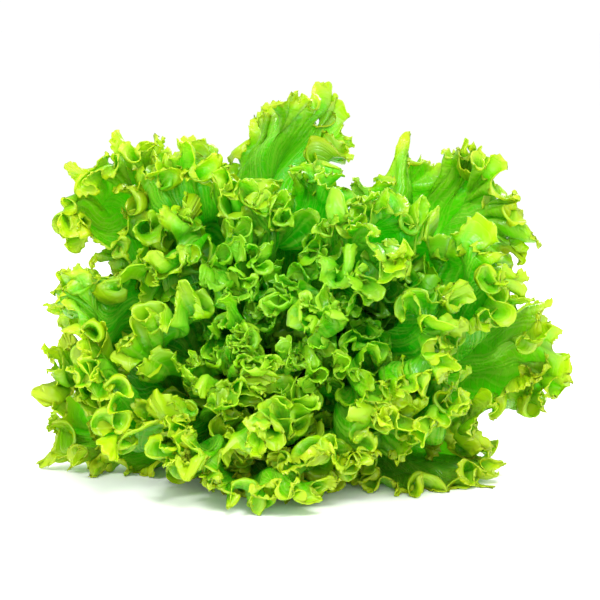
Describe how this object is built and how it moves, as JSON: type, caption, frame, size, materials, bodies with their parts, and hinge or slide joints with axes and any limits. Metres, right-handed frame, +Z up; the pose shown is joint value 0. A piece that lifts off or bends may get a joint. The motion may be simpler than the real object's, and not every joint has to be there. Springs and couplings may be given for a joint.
{
  "type": "green leaf lettuce",
  "caption": "Loose head of frilly green lettuce lying on its side, with separate ruffled leaves round a short cut stem.",
  "frame": {"origin": "centre of the footprint, on the surface that the head lies on", "axes": "+Z up; leaf tips face -Y, towards the viewer of the picture; the cut stem points to +Y; +X is the viewer's right"},
  "size_m": [0.3257, 0.2719, 0.2306],
  "materials": {
    "stem": "pale, moist cut plant stem; matte plastic stands in for plant tissue",
    "outer_leaf": "thin, slightly glossy green leaf; plastic stands in for plant tissue",
    "middle_leaf": "thin, slightly glossy lighter green leaf; plastic stands in for plant tissue",
    "heart_leaf": "thin, slightly glossy yellow-green young leaf; plastic stands in for plant tissue"
  },
  "bodies": {
    "root": {"stem": "stem", "leaf_01_top": "outer_leaf", "leaf_02_right_floor": "outer_leaf", "leaf_03_top_right": "outer_leaf", "leaf_04_left_floor": "outer_leaf", "leaf_05_right": "outer_leaf", "leaf_06_left": "outer_leaf", "leaf_07_front_floor": "outer_leaf", "leaf_08_upper_left": "outer_leaf", "leaf_09_inner": "middle_leaf", "leaf_10_inner": "middle_leaf", "leaf_11_inner": "middle_leaf", "leaf_12_inner": "middle_leaf", "leaf_13_inner": "middle_leaf", "leaf_14_inner": "middle_leaf", "leaf_15_inner": "middle_leaf", "leaf_16_inner": "middle_leaf", "leaf_17_inner": "middle_leaf", "leaf_18_inner": "middle_leaf", "leaf_19_inner": "middle_leaf", "leaf_20_inner": "middle_leaf", "leaf_21_inner": "middle_leaf", "leaf_22_inner": "middle_leaf", "leaf_23_inner": "middle_leaf", "leaf_24_inner": "heart_leaf", "leaf_25_inner": "heart_leaf", "leaf_26_inner": "heart_leaf", "leaf_27_inner": "heart_leaf", "leaf_28_inner": "heart_leaf", "leaf_29_inner": "heart_leaf", "leaf_30_inner": "heart_leaf", "leaf_31_inner": "heart_leaf", "leaf_32_inner": "heart_leaf", "leaf_33_inner": "heart_leaf", "leaf_34_inner": "heart_leaf", "leaf_35_inner": "heart_leaf"}
  },
  "joints": []
}
